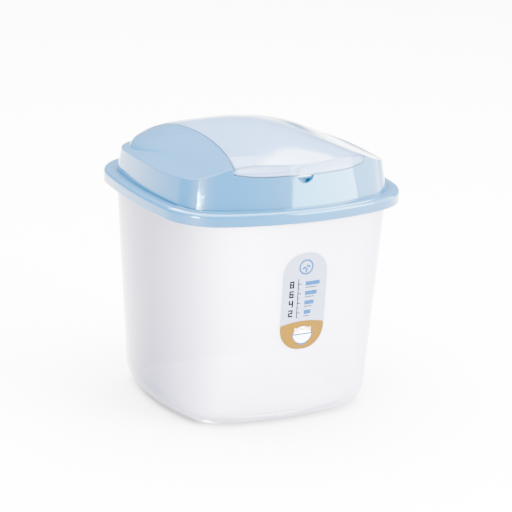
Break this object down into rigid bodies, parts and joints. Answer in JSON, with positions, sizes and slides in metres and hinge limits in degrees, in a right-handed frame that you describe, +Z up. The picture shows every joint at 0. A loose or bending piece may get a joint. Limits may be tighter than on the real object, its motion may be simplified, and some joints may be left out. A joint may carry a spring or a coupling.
{
  "type": "storage bucket",
  "caption": "Tapered translucent storage bucket with swelled sides, a lift-off lid with a collar, and a clear domed flip cover over the pour opening.",
  "frame": {"origin": "middle of the tub's foot, on the floor", "axes": "+Z up, -Y towards the front with the sticker and the cover's lip, +X to the right seen from the front"},
  "size_m": [0.26, 0.2568, 0.2794],
  "materials": {
    "clear_plastic": "translucent",
    "sticker": "satin",
    "blue_plastic": "gloss",
    "cover_plastic": "clear",
    "seal": "matte",
    "pin": "satin"
  },
  "bodies": {
    "bucket": {"bucket_body": "clear_plastic", "bucket_label": "sticker"},
    "lid": {"lid_frame": "blue_plastic", "rim_seal": "seal", "hatch_seal": "seal", "hinge_pin_left": "pin", "hinge_pin_right": "pin"},
    "cover": {"flip_cover": "cover_plastic"}
  },
  "joints": [
    {"name": "lid_lift", "type": "slide", "parent": "bucket", "child": "lid", "axis": [0, 0, 1], "range_m": [0, 0.08]},
    {"name": "cover_flip", "type": "hinge", "parent": "lid", "child": "cover", "pos_m": [0, 0.089, 0.256], "axis": [-1, 0, 0], "range_deg": [0, 100]}
  ]
}
